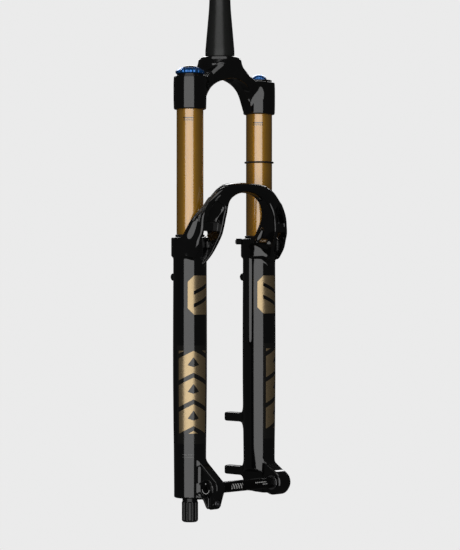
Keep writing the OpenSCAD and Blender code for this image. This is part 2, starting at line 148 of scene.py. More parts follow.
def plate_outline(u, v, discs):
    """The outline round several discs."""
    pairs = [(a, b) for i, a in enumerate(discs) for b in discs[i + 1:]]
    field = capsule(u, v, *pairs[0])
    for a, b in pairs[1:]:
        field = np.minimum(field, capsule(u, v, a, b))
    return field


def rounded_box(u, v, w, half, k):
    """A box of the given half sizes, with its edges along w rounded by about k."""
    return smax(smax(np.abs(u) - half[0], np.abs(v) - half[1], k), np.abs(w) - half[2], k)


# ---- meshing ----

CORNERS = [(i, j, k) for i in (0, 1) for j in (0, 1) for k in (0, 1)]
EDGES = [(a, b) for a in CORNERS for b in CORNERS
         if sum(b) - sum(a) == 1 and all(q >= p for p, q in zip(a, b))]


def gradient(field, p, step):
    """Slope of a field at points, from four samples round each."""
    total = np.zeros_like(p)
    for corner in ((1, -1, -1), (-1, -1, 1), (-1, 1, -1), (1, 1, 1)):
        k = np.array(corner)
        q = p + k * step
        total += k * field(q[:, 0], q[:, 1], q[:, 2])[:, None]
    return total / (4 * step)


def by_height(field, p, work):
    """Runs work(field, points) over slices of points sorted by height."""
    order = np.argsort(p[:, 2])
    out = np.empty_like(p)
    for part in np.array_split(order, max(1, len(order) // 12000)):
        out[part] = work(field, p[part])
    return out


def onto_surface(field, p):
    """Moves points onto the field's zero surface, at most half a millimetre a step."""
    for _ in range(3):
        g = gradient(field, p, 0.04)
        d = field(p[:, 0], p[:, 1], p[:, 2])
        move = d[:, None] * g / np.maximum((g * g).sum(1), 0.2)[:, None]
        size = np.linalg.norm(move, axis=1, keepdims=True)
        p = p - move * np.minimum(1, 0.5 / np.maximum(size, 1e-9))
    return p


def surface_normals(field, p):
    """Unit normals of the field at points."""
    g = gradient(field, p, 0.12)
    return g / np.maximum(np.linalg.norm(g, axis=1, keepdims=True), 1e-9)


def net(field, xs, ys, zs):
    """A closed mesh of the field's zero surface: one point in each cell that it crosses."""
    values = np.empty((len(xs), len(ys), len(zs)), np.float32)
    for start in range(0, len(zs), 12):
        part = zs[start:start + 12]
        values[:, :, start:start + 12] = field(xs[:, None, None], ys[None, :, None], part[None, None, :])
    inside = values < 0
    size = tuple(n - 1 for n in inside.shape)

    def corner(array, c):
        return array[c[0]:c[0] + size[0], c[1]:c[1] + size[1], c[2]:c[2] + size[2]]

    count = sum(corner(inside, c).astype(np.int8) for c in CORNERS)
    cells = np.argwhere((count > 0) & (count < 8))
    axes = (xs, ys, zs)
    total = np.zeros((len(cells), 3))
    hits = np.zeros(len(cells))
    for a, b in EDGES:
        ia, ib = cells + a, cells + b
        va, vb = values[tuple(ia.T)], values[tuple(ib.T)]
        crossed = (va < 0) != (vb < 0)
        t = np.where(crossed, va / np.where(crossed, va - vb, 1), 0)
        pa = np.stack([axes[d][ia[:, d]] for d in range(3)], 1)
        pb = np.stack([axes[d][ib[:, d]] for d in range(3)], 1)
        total += np.where(crossed[:, None], pa + t[:, None] * (pb - pa), 0)
        hits += crossed
    points = total / hits[:, None]
    index = np.full(size, -1, np.int32)
    index[tuple(cells.T)] = np.arange(len(cells))
    faces = []
    for d in range(3):
        e, f = (d + 1) % 3, (d + 2) % 3
        upper = [slice(None)] * 3
        lower = [slice(None)] * 3
        upper[d], lower[d] = slice(1, None), slice(None, -1)
        first, second = inside[tuple(lower)], inside[tuple(upper)]
        crossing = np.argwhere(first != second)
        crossing = crossing[(crossing[:, e] > 0) & (crossing[:, f] > 0)]
        crossing = crossing[(crossing[:, e] < size[e]) & (crossing[:, f] < size[f])]
        step_e, step_f = np.eye(3, dtype=int)[e], np.eye(3, dtype=int)[f]
        quad = np.stack([
            index[tuple((crossing - o).T)] for o in (0 * step_e, step_e, step_e + step_f, step_f)
        ], 1)
        flip = ~first[tuple(crossing.T)]
        quad[flip] = quad[flip][:, ::-1]
        faces.append(quad)
    return points, np.concatenate(faces)


def solid(name, field, xs, ys, zs):
    """A Blender object of a field, with its vertices on the surface and its true normals."""
    points, faces = net(field, xs, ys, zs)
    points = by_height(field, points, onto_surface)
    normals = by_height(field, points, surface_normals)
    mesh = bpy.data.meshes.new(name)
    mesh.from_pydata((points * MM).tolist(), [], faces.tolist())
    mesh.update()
    mesh.shade_smooth()
    mesh.normals_split_custom_set_from_vertices(normals.tolist())
    thing = bpy.data.objects.new(name, mesh)
    bpy.context.scene.collection.objects.link(thing)
    return thing


def grid_line(*stretches):
    """Grid places from (start, end, step) stretches that follow one another."""
    line = [np.arange(start, end, step) for start, end, step in stretches]
    return np.concatenate(line + [np.array([stretches[-1][1]])])


# ---- the lower casting ----

# a leg's outside: its radius at heights from the bottom up, then the same for the bore
LEG_HEIGHTS = [LEG_BOTTOM, LEG_BOTTOM + 1, -580, -530, -495, -440,
               -395, -350, -290, -275, -271.5, COLLAR_TOP]
LEG_RADII = [20.6, 21.3, 21.3, 21.7, 22.2, 22.7, 22.8, 22.7, 22.4, 22.4, COLLAR_R, COLLAR_R]
FOOT_FLOOR = LEG_BOTTOM + 15
BORE_HEIGHTS = [FOOT_FLOOR, -566, -563, -396.1, -396, -376, -375.9,
                -282.1, -282, -261.1, -261, -255.1, -255, -240]
BORE_RADII = [11.5, 11.5, 18.8, 18.8, 19.2, 19.2, 18.8, 18.8, 19.2, 19.2, 20.4, 20.4, 21, 21]

# Half of the arch, from the crest out and down: outer edge x and height below the crest, inner edge x and
# height below the crest, front y at the outer and inner edges, rear y at the outer and inner edges, and how
# far the rear corners stand out beyond the front ones, outside and inside.
ARCH_ROWS = np.array([
    [0, 0, 0, 13.5, -55, -57, -38, -40, 0, 0],
    [28, 1, 18, 16, -55, -58, -38, -40, -1, 0],
    [50, 6, 33, 24, -54.5, -59, -39, -39, -4, 0],
    [66, 18, 42, 36, -52.5, -60.5, -37, -37, -7, 0],
    [76, 32, 46, 47, -51, -60, -35.5, -34, -6, 1],
    [81, 47, 48.5, 59, -51, -59, -32, -27, 2, 2.5],
    [83, 63, 51, 72, -50, -56.5, -24, -20, 5, 6],
    [84.5, 77, 54, 88, -45, -48.5, -18, -14, 6.5, 9],
    [84.5, 88, 58, 100, -41.5, -42, -15, -14, 7, 8],
    [84, 101, 63, 112, -33, -33, -12, -14, 7.5, 4],
])
STEPS = 12  # points between two rows


def through(rows):
    """Catmull-Rom curve through rows, the first row being a mirror plane for x."""
    before = rows[1] * np.array([-1, 1, -1, 1, 1, 1, 1, 1, 1, 1])
    points = np.vstack([before, rows, 2 * rows[-1] - rows[-2]])
    out = []
    for i in range(len(rows) - 1):
        a, b, c, d = points[i:i + 4]
        for t in np.arange(STEPS) / STEPS:
            out.append(0.5 * (2 * b + (c - a) * t + (2 * a - 5 * b + 4 * c - d) * t * t
                              + (3 * b - a - 3 * c + d) * t ** 3))
    return np.array(out + [rows[-1]])


ARCH = through(ARCH_ROWS)
ARCH[:, [1, 3]] = ARCH_TOP - ARCH[:, [1, 3]]
STATIONS = np.arange(len(ARCH)) / STEPS
ARCH_WIDTH = np.hypot(ARCH[:, 2] - ARCH[:, 0], ARCH[:, 3] - ARCH[:, 1])


def arch_place(a, z):
    """Station along the half arch and distance in from its outer edge, for places seen from the front."""
    a, z = np.broadcast_arrays(a, z)
    shape = a.shape
    a, z = a.ravel(), z.ravel()
    across = ARCH[:, 2:4] - ARCH[:, 0:2]
    side = across[:, :1] * (z[None] - ARCH[:, 1:2]) - across[:, 1:] * (a[None] - ARCH[:, :1])
    passed = side < 0
    j = np.where(passed.any(0), passed.argmax(0), len(ARCH) - 1)
    j = np.clip(j, 1, len(ARCH) - 1)
    here, last = side[j, np.arange(len(a))], side[j - 1, np.arange(len(a))]
    t = np.clip(last / np.where(np.abs(last - here) < 1e-9, 1, last - here), 0, 1)
    station = (j - 1 + t) / STEPS
    end = side[-1] / ARCH_WIDTH[-1]
    rows = [np.interp(station, STATIONS, ARCH[:, k]) for k in range(4)]
    width = np.maximum(np.hypot(rows[2] - rows[0], rows[3] - rows[1]), 1e-6)
    depth = ((a - rows[0]) * (rows[2] - rows[0]) + (z - rows[1]) * (rows[3] - rows[1])) / width
    return [v.reshape(shape) for v in (station, depth, width, end)]


def step_up(v, low, high):
    """A smooth rise from 0 at low to 1 at high."""
    t = np.clip((v - low) / (high - low), 0, 1)
    return t * t * (3 - 2 * t)


def arch_field(x, y, z):
    """The arch: an outer strand and an inner rim with a pocket between them, joined over the crest."""
    a = np.abs(x)
    station, depth, width, end = arch_place(a, z)

    def row(k):
        return np.interp(station, STATIONS, ARCH[:, k])

    share = np.clip(depth / width, 0, 1)
    front = row(4) + (row(5) - row(4)) * share
    rear = row(6) + (row(7) - row(6)) * share
    back = np.clip((y - front) / np.maximum(rear - front, 1), 0, 1)
    low_limb = step_up(station, 4.6, 5.6)
    shoulder = back * (1 - low_limb) + step_up(back, 0.42, 0.72) * low_limb
    shoulder = shoulder + (back - shoulder) * step_up(station, 6.4, 7.4)
    outer = -depth - row(8) * shoulder
    inner = depth - width - row(9) * back
    # two channels along the outer face, which end where the broad facet starts
    along = between(station, 1.6, 5.4) * 14
    across = np.minimum(np.abs(back - 0.34), np.abs(back - 0.7)) * (rear - front)
    channel = smax(across - 1.9, along, 2)
    outer = smax(outer, -smax(channel, -outer - 1.9, 1.2), 0.8)
    body = smax(outer, inner, 5)
    # a shallow step down each limb's front
    deep = 2.2 * step_up(station, 1.9, 3.4) * (1 - step_up(station, 5.6, 6.8)) - 0.5
    front_face = smax(front - y, -smax(depth - 8.5, y - front - deep, 0.5), 0.5)
    body = smax(body, front_face, 9 - 5.8 * step_up(station, 2.2, 3.8))
    body = smax(body, y - rear, 2.2)
    body = smax(body, end, 2)
    # pocket between the outer strand and the inner rim, open to the leg in its lower part
    floor = front + 4 + 9 * step_up(station, 3.3, 4.6) + 40 * step_up(station, 5.5, 6.1)
    strand = 6.5 - 1.5 * low_limb
    rim = 5.2 - 1.7 * step_up(station, 6.5, 8.5)
    pocket = smax(outer + strand, inner + rim, 3)
    pocket = smax(pocket, y - floor, 3)
    pocket = smax(pocket, (3.1 - station) * 12, 3)
    body = smax(body, -pocket, 1.4)
    # shallow relief behind the crest
    relief = smax(np.maximum(3.2 - depth, depth - width + 3.2), (station - 2.9) * 12, 2)
    relief = smax(relief, rear - 2.5 - y, 1.5)
    body = smax(body, -relief, 1.2)
    # the bridge block in the front of the pocket
    block = rounded_box(a - 66, y + 45.5, z - (ARCH_TOP - 60), (17, 3.6, 6), 1.6)
    inside = np.maximum(outer + 2, inner + 2)
    return smin(body, smax(block, inside, 1), 1.2)


def web_field(a, y, z):
    """The inner wall from the arch's rear edge down to a collar."""
    web = capsule_3d(a, y, z, (47.5, -20, -252, 4.2), (53, -40, -254, 4.5))
    web = smin(web, capsule_3d(a, y, z, (45.8, -13, -258, 4), (56, -33, -272, 3)), 5)
    return smin(web, capsule_3d(a, y, z, (47, -24, -250, 3.4), (48.5, -32, -236, 3)), 4)


def capsule_3d(x, y, z, a, b):
    """Two balls (x, y, z, radius) and the tangent body between them."""
    a, b = np.array(a, float), np.array(b, float)
    d = b[:3] - a[:3]
    t = np.clip(((x - a[0]) * d[0] + (y - a[1]) * d[1] + (z - a[2]) * d[2]) / (d @ d), 0, 1)
    away = np.sqrt((x - a[0] - t * d[0]) ** 2 + (y - a[1] - t * d[1]) ** 2 + (z - a[2] - t * d[2]) ** 2)
    return away - (a[3] + t * (b[3] - a[3]))


NEAR_DISCS = [(AXLE_Y - 8, AXLE_Z + 1, 13.5), (AXLE_Y, AXLE_Z - 1, 15), (LEG_Y - 17, -555, 10),
              (LEG_Y - 10, -582, 12)]
PINCH_DISCS = [(AXLE_Y - 8, AXLE_Z + 1, 13.5), (AXLE_Y, AXLE_Z - 1, 13), (AXLE_Y - 6, -600, 8.5)]
FAR_DISCS = [(AXLE_Y, AXLE_Z, 17), (LEG_Y - 14, -558, 8), (LEG_Y - 6, -587, 7)]


def near_dropout_field(x, y, z):
    """The dropout on the axle head's side, with the pinch lug."""
    outline = np.minimum(plate_outline(y, z, NEAR_DISCS), plate_outline(y, z, PINCH_DISCS))
    plate = smax(outline, between(x, NEAR_DROP_X, -HUB_HALF), 1.6)
    # a raised border and a raised ring round the axle
    ring = 12.2 - np.hypot(y - AXLE_Y, z - AXLE_Z)
    recess = smax(smax(outline + 2.4, ring, 1), x - (NEAR_DROP_X + 1.5), 0.8)
    return smax(plate, -recess, 0.6)


def far_dropout_field(x, y, z):
    """The dropout that holds the axle nut."""
    outline = plate_outline(y, z, FAR_DISCS)
    plate = smax(outline, between(x, HUB_HALF, FAR_DROP_X - 4), 3)
    around = np.hypot(y - AXLE_Y, z - AXLE_Z)
    boss = smax(around - 14, between(x, HUB_HALF, FAR_DROP_X), 2)
    return smin(plate, boss, 3)


def with_brake_tabs(field, x, y, z):
    """Adds the two brake tabs behind the far leg, with their blind holes."""
    for side in (-1, 1):
        centre = BRAKE_Z + side * BRAKE_SPACING / 2
        half = (TAB_HALF_X, BRAKE_FACE_Y / 2, TAB_HALF_Z)
        tab = rounded_box(x - BRAKE_X, y - BRAKE_FACE_Y / 2, z - centre, half, 3)
        tab = np.where(x > 0, tab, 99.0)
        field = smin(field, tab, 11)
        hole = np.hypot(x - BRAKE_X, z - centre)
        field = smax(field, -smax(hole - TAB_HOLE_R, BRAKE_FACE_Y - TAB_HOLE_DEPTH - y, 0.5), 0.9)
    return field


def with_axle_cuts(field, x, y, z):
    """Cuts the dropouts' bores, the pinch slot, the pinch screw's seat and hole, and room for the hub."""
    around = np.hypot(y - AXLE_Y, z - AXLE_Z)
    near_bore = smax(around - AXLE_BORE_R, x + HUB_HALF - DROP_IN, 0.5)
    far_bore = smax(around - NUT_BORE_R, HUB_HALF - DROP_IN - x, 0.5)
    slot = smax(smax(np.abs(y - AXLE_Y + 5) - 1, z - AXLE_Z + 8, 0.5), x + HUB_HALF - DROP_IN, 0.5)
    pinch = np.hypot(x - PINCH[0], z - PINCH[2])
    seat = smax(pinch - PINCH_SEAT_R, y - PINCH[1], 0.5)
    hole = smax(pinch - PINCH_HOLE_R, y + 30, 0.5)
    for cut in (near_bore, far_bore, slot, seat, hole):
        field = smax(field, -cut, 0.9)
    # the legs' inner sides are cut flat beside the hub, with a ramp above
    a = np.abs(x)
    ramp = (z + 563 + (a - 45.2) * 0.72) * 0.81
    return smax(field, -smax(a - HUB_FLAT, ramp, 1), 1.5)


def casting_field(x, y, z):
    """The lower casting. Each part is worked out only for the heights that it can reach."""
    a = np.abs(x)
    la = a - LEG_X
    ly = y - LEG_Y
    r = np.hypot(la, ly)
    high, low = np.max(z), np.min(z)
    field = smax(turned_field(r, z, LEG_HEIGHTS, LEG_RADII), z - COLLAR_TOP, 1.8)
    field = smax(field, LEG_BOTTOM - z, 2.2)
    if high > -412:  # the raised channel down the inner side
        fade = 4 * step_up(-z, 385, 404)
        rib = np.hypot(a - LEG_X + RIB_IN, y - LEG_Y + RIB_FRONT) - RIB_R + fade
        field = smin(field, smax(rib, z - RIB_TOP, 3), 1.5)
    if high > -312 and low < -288:
        stretch = between(y, LEG_Y + BLEEDER_BOSS_FROM, BLEEDER_BOSS_TO)
        boss = smax(np.hypot(la, z - BLEEDER_Z) - BLEEDER_BOSS_R, stretch, 1.2)
        field = smin(field, boss, 4)
    if high > -292:
        arch = smin(arch_field(x, y, z), web_field(a, y, z), 4)
        moat = smax(r - (BARREL_R + 1.5), COLLAR_TOP + 1.5 - z, 1.5)
        arch = smax(arch, -moat, 1.2)
        field = smin(field, arch, 3.5)
    if low < -470:
        field = smin(field, near_dropout_field(x, y, z), 5)
        field = smin(field, far_dropout_field(x, y, z), 5)
        field = with_brake_tabs(field, x, y, z)
        field = with_axle_cuts(field, x, y, z)
    # the blends stay within the width of the collars
    field = np.maximum(field, la - COLLAR_R)
    bore = smax(turned_field(r, z, BORE_HEIGHTS, BORE_RADII), FOOT_FLOOR - z, 1)
    field = smax(field, -bore, 0.9)
    if low < -570:
        field = smax(field, -smax(r - FOOT_RECESS_R, z - LEG_BOTTOM - FOOT_RECESS_DEPTH, 1), 1)
        field = smax(field, -smax(r - FOOT_HOLE_R, z - FOOT_FLOOR - 2, 1), 0.6)
    return field


# ---- the crown ----

# The crown's arms, by distance from the middle: the top edge's height, then front y, rear y, bottom height.
ARM_U = [0, 9, 20, 31, 42, 46, 80]
ARM_TOP = [-1.6, -2.6, -10.6, -19, -28, -31, -31]
ARM_FRONT_U = [0, 14, 26, 36, 44, 50, 56, 66, 80]
ARM_FRONT = [-28.5, -27, -24.8, -24.2, -27.2, -29.6, -31.2, -32, -32]
ARM_REAR = [29.5, 27.5, 21, 13, 9, 9.5, 10, 11, 12]
ARM_BOTTOM = [-31, -36, -44, -56, -64, -69, -72, -75, -76]
# how fast the arm's front falls back below its top edge
ARM_LEAN = [0, 0, 0, 0.1, 0.36, 0.34, 0.1, 0, 0]
UNDERSIDE_R = 44


def crown_field(x, y, z):
    """The crown: the steerer's boss, two arms and two barrels."""
    a = np.abs(x)
    r = np.hypot(x, y)
    boss = turned_field(r, z, [-31, -12, -5, -1.6, 0], [30, 30.5, 29.3, 27, 23])
    boss = smax(boss, between(z, -31, 0), 1.5)
    top = (z - np.interp(a, ARM_U, ARM_TOP)) * 0.72
    lean = np.interp(a, ARM_FRONT_U, ARM_LEAN) * np.maximum(-31 - z, 0)
    front = np.interp(a, ARM_FRONT_U, ARM_FRONT) + lean - y
    rear = y - np.interp(a, ARM_FRONT_U, ARM_REAR)
    arm = smax(top, front, 1.6)
    # the bright bevel that runs down each arm's upper front edge
    arm = smax(arm, (top + front) * 0.72 + 3.0, 0.8)
    arm = smax(arm, rear, 5)
    arm = smax(arm, (np.interp(a, ARM_FRONT_U, ARM_BOTTOM) - z) * 0.8, 2)
    arm = smax(arm, a - LEG_X, 1)
    field = smin(boss, arm, 2.2)
    # flat on the boss's front, between the two bevels
    field = smax(field, -y - 28.3 + 0.06 * (z + 16), 1.5)
    # the arched underside, wider towards the front and the rear
    flare = 1 + 0.03 * np.maximum(np.abs(y + 6.5) - 8, 0)
    rise = 1 + 0.0035 * np.maximum(y + 24, 0)
    underside = np.hypot(x / flare, (z - BARREL_BOTTOM) / rise) - UNDERSIDE_R
    field = smax(field, -underside, 3)
    la = a - LEG_X
    leg_r = np.hypot(la, y - LEG_Y)
    barrel = smax(
        turned_field(leg_r, z, [-76, -64, -52, -40, -31], [21.7, 22.05, BARREL_R, 22.05, 21.6]),
        between(z, BARREL_BOTTOM, TUBE_TOP), 2.6)
    field = smin(field, barrel, 2)
    field = smax(field, -smax(leg_r - CAP_SEAT_R, TUBE_TOP - z, 0.6), 1.0)
    field = smax(field, -(r - PRESSED_R), 0.8)
    field = smax(field, -smax(leg_r - TUBE_R, z + TUBE_SOCKET_DEPTH, 0.6), 0.8)
    return field


# ---- materials ----

class Value:
    """A number in a material's node tree, which adds, multiplies and compares as nodes."""

    def __init__(self, tree, socket):
        self.tree = tree
        self.socket = socket

    def node(self, operation, *others):
        """The result of a math node on this number and the others."""
        made = self.tree.nodes.new("ShaderNodeMath")
        made.operation = operation
        for place, value in enumerate((self, *others)):
            if isinstance(value, Value):
                self.tree.links.new(value.socket, made.inputs[place])
            else:
                made.inputs[place].default_value = value
        return Value(self.tree, made.outputs[0])

    def __add__(self, other):
        return self.node("ADD", other)

    def __sub__(self, other):
        return self.node("SUBTRACT", other)

    def __mul__(self, other):
        return self.node("MULTIPLY", other)

    def __lt__(self, other):
        return self.node("LESS_THAN", other)

    def __gt__(self, other):
        return self.node("GREATER_THAN", other)

    def __and__(self, other):
        return self.node("MULTIPLY", other)

    def __or__(self, other):
        return self.node("MAXIMUM", other)

    def size(self):
        return self.node("ABSOLUTE")

    def angle(self, other):
        return self.node("ARCTAN2", other)

    def repeat(self, period):
        return self.node("FLOORED_MODULO", period)

    def without(self, other):
        return self & (other * -1 + 1)


def new_material(name):
    """A material, its node tree and its shader."""
    made = bpy.data.materials.new(name)
    made.use_nodes = True
    return made, made.node_tree, made.node_tree.nodes["Principled BSDF"]


def object_place(tree):
    """The place on the object, as (vector socket, x, y, z in millimetres)."""
    source = tree.nodes.new("ShaderNodeTexCoord").outputs["Object"]
    split = tree.nodes.new("ShaderNodeSeparateXYZ")
    tree.links.new(source, split.inputs[0])
    return [source] + [Value(tree, split.outputs[k]) * (1 / MM) for k in range(3)]


def noise(tree, vector, scale, detail=3.0, stretch=None):
    """Noise over a place, stretched along an axis by a scale under 1."""
    if stretch:
        mapping = tree.nodes.new("ShaderNodeMapping")
        mapping.inputs["Scale"].default_value = stretch
        tree.links.new(vector, mapping.inputs["Vector"])
        vector = mapping.outputs[0]
    made = tree.nodes.new("ShaderNodeTexNoise")
    made.inputs["Scale"].default_value = scale
    made.inputs["Detail"].default_value = detail
    tree.links.new(vector, made.inputs["Vector"])
    return made.outputs["Fac"]


def spread(tree, socket, low, high):
    """The middle of a noise's range, spread from low to high."""
    made = tree.nodes.new("ShaderNodeMapRange")
    made.inputs["From Min"].default_value = 0.3
    made.inputs["From Max"].default_value = 0.7
    made.inputs["To Min"].default_value = low
    made.inputs["To Max"].default_value = high
    tree.links.new(socket, made.inputs["Value"])
    return made.outputs["Result"]


def mix_colour(tree, share, first, second):
    """The first colour where share is 0, the second where it is 1."""
    made = tree.nodes.new("ShaderNodeMix")
    made.data_type = "RGBA"
    for place, value in ((6, first), (7, second)):
        if isinstance(value, bpy.types.NodeSocket):
            tree.links.new(value, made.inputs[place])
        else:
            made.inputs[place].default_value = (*value, 1)
    tree.links.new(share, made.inputs[0])
    return made.outputs[2]


def mix_number(tree, share, first, second):
    """The first number where share is 0, the second where it is 1."""
    made = tree.nodes.new("ShaderNodeMix")
    for place, value in ((2, first), (3, second)):
        if isinstance(value, bpy.types.NodeSocket):
            tree.links.new(value, made.inputs[place])
        else:
            made.inputs[place].default_value = value
    tree.links.new(share, made.inputs[0])
    return made.outputs[0]


def bump(tree, shader, height, strength, distance):
    """Fine relief on the shader's normal."""
    made = tree.nodes.new("ShaderNodeBump")
    made.inputs["Strength"].default_value = strength
    made.inputs["Distance"].default_value = distance
    tree.links.new(height, made.inputs["Height"])
    tree.links.new(made.outputs[0], shader.inputs["Normal"])


def finish_material(name, dark, light, rough, metallic=0.0, ior=1.5, grain=700.0, stretch=None,
                    relief=0.05, relief_depth=0.0001, cloud=40.0, coat=0.0):
    """A surface whose colour, roughness and relief vary with noise of the right scale."""
    made, tree, shader = new_material(name)
    shader.inputs["Metallic"].default_value = metallic
    shader.inputs["IOR"].default_value = ior
    shader.inputs["Coat Weight"].default_value = coat
    place = object_place(tree)[0]
    clouds = noise(tree, place, cloud)
    tree.links.new(mix_colour(tree, clouds, dark, light), shader.inputs["Base Color"])
    fine = noise(tree, place, grain, 4.0, stretch)
    tree.links.new(spread(tree, fine, *rough), shader.inputs["Roughness"])
    bump(tree, shader, fine, relief, relief_depth)
    return made


GOLD_DARK, GOLD_LIGHT = (0.88, 0.42, 0.02), (0.97, 0.485, 0.035)


def casting_material():
    """Gloss black over cast magnesium, with abstract gold shapes printed round the legs."""
    made, tree, shader = new_material("casting_gloss_black")
    place, x, y, z = object_place(tree)
    shader.inputs["IOR"].default_value = 1.95
    outside = (x.size() - LEG_X).angle(y * -1 + LEG_Y)
    arc = outside * 22.7  # millimetres round the leg, from its front towards the outside
    # the block near the top of each leg
    up = z + 324
    reach, height = arc.size(), up.size()
    block = (reach < 20.5) & (height < 26) & ((reach + height) < 38)
    bars = ((up + arc * 0.45) - 8.5).size() < 2.6
    bars = bars | (((up + arc * 0.45) + 8.5).size() < 2.6)
    block = block.without(bars & (reach < 12.5))
    # the chevrons further down, on a satin backing
    turned = arc - 12.7
    reach = turned.size()
    climb = reach * 0.5 + z
    cell = (climb + 398).repeat(35.5)
    inside_band = (reach < 21) & (z < -398) & (z > -508)
    diamond = (reach + ((cell - 20.5).size() * 1.2)) < 8
    chevrons = (inside_band & (cell > 6.5)).without(diamond)
    backing = (reach < 24.5) & (z < -391) & (z > -522)
    gold = block | chevrons
    # two rows of small grey dashes under the chevrons
    dash = (arc.repeat(2.1) < 1.3) & (((z + 536).size() < 0.45) | ((z + 539.5).size() < 0.45))
    dash = dash & ((arc - 20).size() < 8)
    on_leg = ((x.size() - LEG_X).size() < 24) & (y > -34)
    gold, backing, dash = gold & on_leg, backing & on_leg, dash & on_leg
    clouds = noise(tree, place, 30)
    black = mix_colour(tree, clouds, (0.0035, 0.0035, 0.0038), (0.0065, 0.0065, 0.0065))
    grey = mix_colour(tree, clouds, (0.010, 0.010, 0.009), (0.016, 0.015, 0.013))
    ink = mix_colour(tree, clouds, (0.74, 0.55, 0.30), (0.82, 0.62, 0.36))
    colour = mix_colour(tree, backing.socket, black, grey)
    colour = mix_colour(tree, gold.socket, colour, ink)
    colour = mix_colour(tree, dash.socket, colour, (0.22, 0.22, 0.21))
    tree.links.new(colour, shader.inputs["Base Color"])
    tree.links.new(mix_number(tree, gold.socket, 0.0, 0.85), shader.inputs["Metallic"])
    fine = noise(tree, place, 260, 3)
    smooth = spread(tree, fine, 0.055, 0.10)
    rough = mix_number(tree, backing.socket, smooth, spread(tree, fine, 0.12, 0.17))
    rough = mix_number(tree, gold.socket, rough, spread(tree, fine, 0.26, 0.34))
    tree.links.new(rough, shader.inputs["Roughness"])
    orange_peel = noise(tree, place, 95, 2)
    bump(tree, shader, orange_peel, 0.06, 0.0006)
    return made


def tube_material():
    """Gold hard-anodised tube: fine lengthwise polish, and small etched dashes near the top."""
    made, tree, shader = new_material("gold_anodised_tube")
    place, x, y, z = object_place(tree)
    shader.inputs["Metallic"].default_value = 0.65
    arc = (x.size() - LEG_X).angle(y * -1 + LEG_Y) * TUBE_R
    spot = (arc - x.node("SIGN") * -16).size() < 7
    marks = spot & (((z + 88).size() < 0.8) | (((z + 90.9).size() < 0.8) & (arc.repeat(2.6) < 1.7)))
    clouds = noise(tree, place, 22)
    colour = mix_colour(tree, clouds, GOLD_DARK, GOLD_LIGHT)
    colour = mix_colour(tree, marks.socket, colour, (0.03, 0.02, 0.01))
    tree.links.new(colour, shader.inputs["Base Color"])
    fine = noise(tree, place, 500, 4, (1, 1, 0.08))
    tree.links.new(spread(tree, fine, 0.40, 0.48), shader.inputs["Roughness"])
    shader.inputs["Coat Weight"].default_value = 1
    shader.inputs["Coat IOR"].default_value = 3.1
    shader.inputs["Coat Roughness"].default_value = 0.12
    bump(tree, shader, fine, 0.05, 0.00008)
    return made


def axle_material():
    """Satin black anodised axle, with a row of small pale dashes."""
    made, tree, shader = new_material("black_anodised_axle")
    place, x, y, z = object_place(tree)
    shader.inputs["Metallic"].default_value = 0.6
    facing = y < AXLE_Y - 2
    # slanted bars near the middle and two rows of dashes beyond them
    marks = ((x + z * 0.4).repeat(4.6) < 2.1) & ((x + 18).size() < 11) & ((z - AXLE_Z - 0.5).size() < 3.4)
    marks = marks | (((z - AXLE_Z - 2.6).size() < 0.7) & (x.repeat(3.4) < 2.4) & ((x - 27).size() < 11))
    marks = marks | (((z - AXLE_Z + 0.2).size() < 0.7) & (x.repeat(3.4) < 2.2) & ((x - 36).size() < 5))
    marks = marks & facing
    # a half ring and a dot on the axle's end
    across, up = y - AXLE_Y, z - AXLE_Z
    around = (across * across + up * up).node("SQRT")
    end = x < NEAR_DROP_X + 0.5
    marks = marks | (((around - 6.6).size() < 0.45) & (up < -1) & end)
    marks = marks | (((around - 6.6).size() < 0.8) & (across.size() < 0.8) & (up > 0) & end)
    clouds = noise(tree, place, 60)
    colour = mix_colour(tree, clouds, (0.010, 0.010, 0.010), (0.018, 0.018, 0.018))
    colour = mix_colour(tree, marks.socket, colour, (0.85, 0.85, 0.83))
    tree.links.new(colour, shader.inputs["Base Color"])
    tree.links.new(mix_number(tree, marks.socket, 0.6, 0.0), shader.inputs["Metallic"])
    fine = noise(tree, place, 600, 4, (0.1, 1, 1))
    tree.links.new(spread(tree, fine, 0.18, 0.28), shader.inputs["Roughness"])
    bump(tree, shader, fine, 0.05, 0.0001)
    return made


def metal(name, dark, light, rough, **rest):
    """A bare or dyed metal."""
    return finish_material(name, dark, light, rough, metallic=1, **rest)


